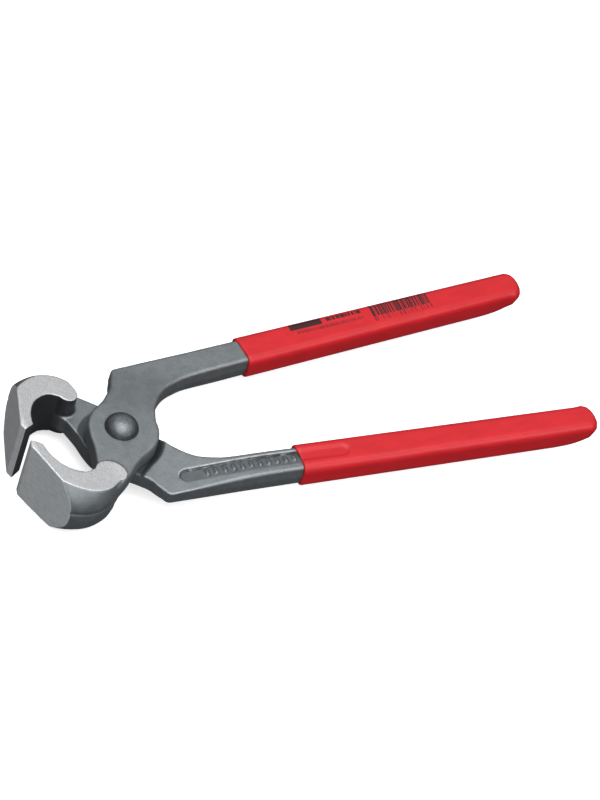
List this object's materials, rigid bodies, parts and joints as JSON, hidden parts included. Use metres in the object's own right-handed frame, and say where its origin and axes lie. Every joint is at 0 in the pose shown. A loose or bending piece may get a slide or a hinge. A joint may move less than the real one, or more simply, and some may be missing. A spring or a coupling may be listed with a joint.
{
  "type": "carpenters' pincers",
  "caption": "Carpenters' pincers: crossed forged levers turning on a domed rivet, wide curved end-cutting jaws with ground faces, long dip-coated handles.",
  "frame": {"origin": "middle of the plan box at the jaws' lower side faces, with the tool lying flat", "axes": "+X along the tool from the jaws to the handle ends, +Y towards the handle of the lever that carries the rivet, +Z along the rivet towards its domed head"},
  "size_m": [0.2108, 0.0754, 0.026],
  "materials": {
    "forged_steel": "dark phosphated forging, satin, with bright ground jaw faces",
    "rivet_steel": "dark satin steel, dome rubbed lighter",
    "grip_coating": "red dip-coated soft vinyl, satin gloss"
  },
  "bodies": {
    "front": {"front_lever": "forged_steel", "rivet": "rivet_steel", "upper_grip": "grip_coating"},
    "back": {"back_lever": "forged_steel", "lower_grip": "grip_coating"}
  },
  "joints": [
    {"name": "jaw_pivot", "type": "hinge", "parent": "front", "child": "back", "pos_m": [-0.06855, 0, 0.013], "axis": [0, 0, -1], "range_deg": [-7.2, 8]}
  ]
}
